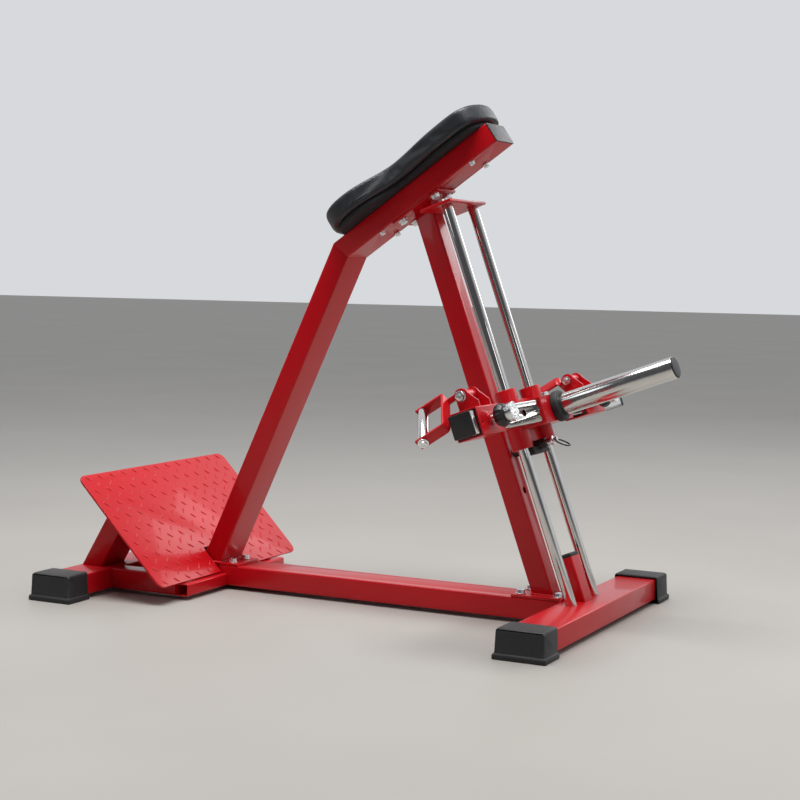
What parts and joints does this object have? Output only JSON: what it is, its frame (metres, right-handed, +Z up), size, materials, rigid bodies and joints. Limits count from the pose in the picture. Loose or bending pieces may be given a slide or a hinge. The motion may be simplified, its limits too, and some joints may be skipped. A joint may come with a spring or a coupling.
{
  "type": "chest-supported row machine",
  "caption": "Plate-loaded, chest-supported row frame: waisted pad on a leaning post, tread foot plate, and a carriage with weight horn and swinging grips on two inclined guide rods.",
  "frame": {"origin": "on the floor, below the centre of the whole machine", "axes": "+X from the foot plate to the weight horn, +Y to the left of a user facing the pad, +Z up"},
  "size_m": [1.4816, 0.9266, 1.1965],
  "materials": {
    "red_paint": "glossy bright red powder coat",
    "chrome": "polished chrome plate",
    "zinc_steel": "bright zinc plated steel",
    "bearing_steel": "ground bearing steel",
    "rubber": "moulded black rubber",
    "black_plastic": "satin black moulded plastic",
    "plywood": "black-stained plywood",
    "vinyl": "fine grained black vinyl"
  },
  "bodies": {
    "frame": {"main_beam": "red_paint", "front_crossbar": "red_paint", "rear_crossbar": "red_paint", "left_side_rail": "red_paint", "right_side_rail": "red_paint", "plate_stubs": "red_paint", "left_strut": "red_paint", "right_strut": "red_paint", "foot_plate": "red_paint", "rear_post_flange": "red_paint", "rear_post": "red_paint", "pad_beam": "red_paint", "front_post_flange": "red_paint", "front_post": "red_paint", "head_flange": "red_paint", "rod_head_plate": "red_paint", "left_guide_rod": "chrome", "right_guide_rod": "chrome", "stop_post": "red_paint", "stop_pad": "rubber", "front_left_foot": "rubber", "front_right_foot": "rubber", "rear_left_foot": "rubber", "rear_right_foot": "rubber", "tube_end_caps": "black_plastic", "frame_bolts": "zinc_steel", "pad_screws": "zinc_steel", "pad_board": "plywood", "pad_cushion": "vinyl"},
    "carriage": {"left_sleeve": "red_paint", "right_sleeve": "red_paint", "sleeve_bearings": "bearing_steel", "carriage_web": "red_paint", "bar_bracket": "red_paint", "bracket_bolt": "zinc_steel", "cross_bar": "chrome", "cross_bar_caps": "black_plastic", "weight_horn": "chrome", "horn_collar": "rubber", "horn_end_cap": "chrome", "lock_housing": "black_plastic", "carriage_bumper": "rubber"},
    "lock_pin": {"lock_pin": "zinc_steel", "pull_loop": "black_plastic"},
    "left_slider": {"left_slider_block": "red_paint", "left_slider_liner": "black_plastic", "left_hinge_bolt": "zinc_steel"},
    "left_pop_pin": {"left_pop_pin": "zinc_steel", "left_pop_knob": "black_plastic"},
    "left_handle": {"left_handle": "red_paint", "left_grip_bolt": "zinc_steel"},
    "left_grip": {"left_grip": "chrome"},
    "right_slider": {"right_slider_block": "red_paint", "right_slider_liner": "black_plastic", "right_hinge_bolt": "zinc_steel"},
    "right_pop_pin": {"right_pop_pin": "zinc_steel", "right_pop_knob": "black_plastic"},
    "right_handle": {"right_handle": "red_paint", "right_grip_bolt": "zinc_steel"},
    "right_grip": {"right_grip": "chrome"}
  },
  "joints": [
    {"name": "carriage_slide", "type": "slide", "parent": "frame", "child": "carriage", "axis": [-0.342, 0, 0.9397], "range_m": [0, 0.44]},
    {"name": "lock_pin_pull", "type": "slide", "parent": "carriage", "child": "lock_pin", "axis": [0.9397, 0, 0.342], "range_m": [-0.012, 0]},
    {"name": "left_grip_width", "type": "slide", "parent": "carriage", "child": "left_slider", "axis": [0, 1, 0], "range_m": [-0.065, 0.13]},
    {"name": "left_pop_pin_pull", "type": "slide", "parent": "left_slider", "child": "left_pop_pin", "axis": [0.9397, 0, 0.342], "range_m": [-0.009, 0]},
    {"name": "left_handle_lift", "type": "hinge", "parent": "left_slider", "child": "left_handle", "pos_m": [0.39528, 0.24, 0.54654], "axis": [0, 1, 0], "range_deg": [0, 60]},
    {"name": "left_grip_spin", "type": "hinge", "parent": "left_handle", "child": "left_grip", "pos_m": [0.31958, 0.293, 0.47949], "axis": [-0.3687, -0.7361, 0.5677], "continuous": true},
    {"name": "right_grip_width", "type": "slide", "parent": "carriage", "child": "right_slider", "axis": [0, 1, 0], "range_m": [0, 0.195]},
    {"name": "right_pop_pin_pull", "type": "slide", "parent": "right_slider", "child": "right_pop_pin", "axis": [0.9397, 0, 0.342], "range_m": [-0.009, 0]},
    {"name": "right_handle_lift", "type": "hinge", "parent": "right_slider", "child": "right_handle", "pos_m": [0.39528, -0.37, 0.54654], "axis": [0, 1, 0], "range_deg": [0, 60]},
    {"name": "right_grip_spin", "type": "hinge", "parent": "right_handle", "child": "right_grip", "pos_m": [0.31958, -0.423, 0.47949], "axis": [-0.3687, 0.7361, 0.5677], "continuous": true}
  ]
}
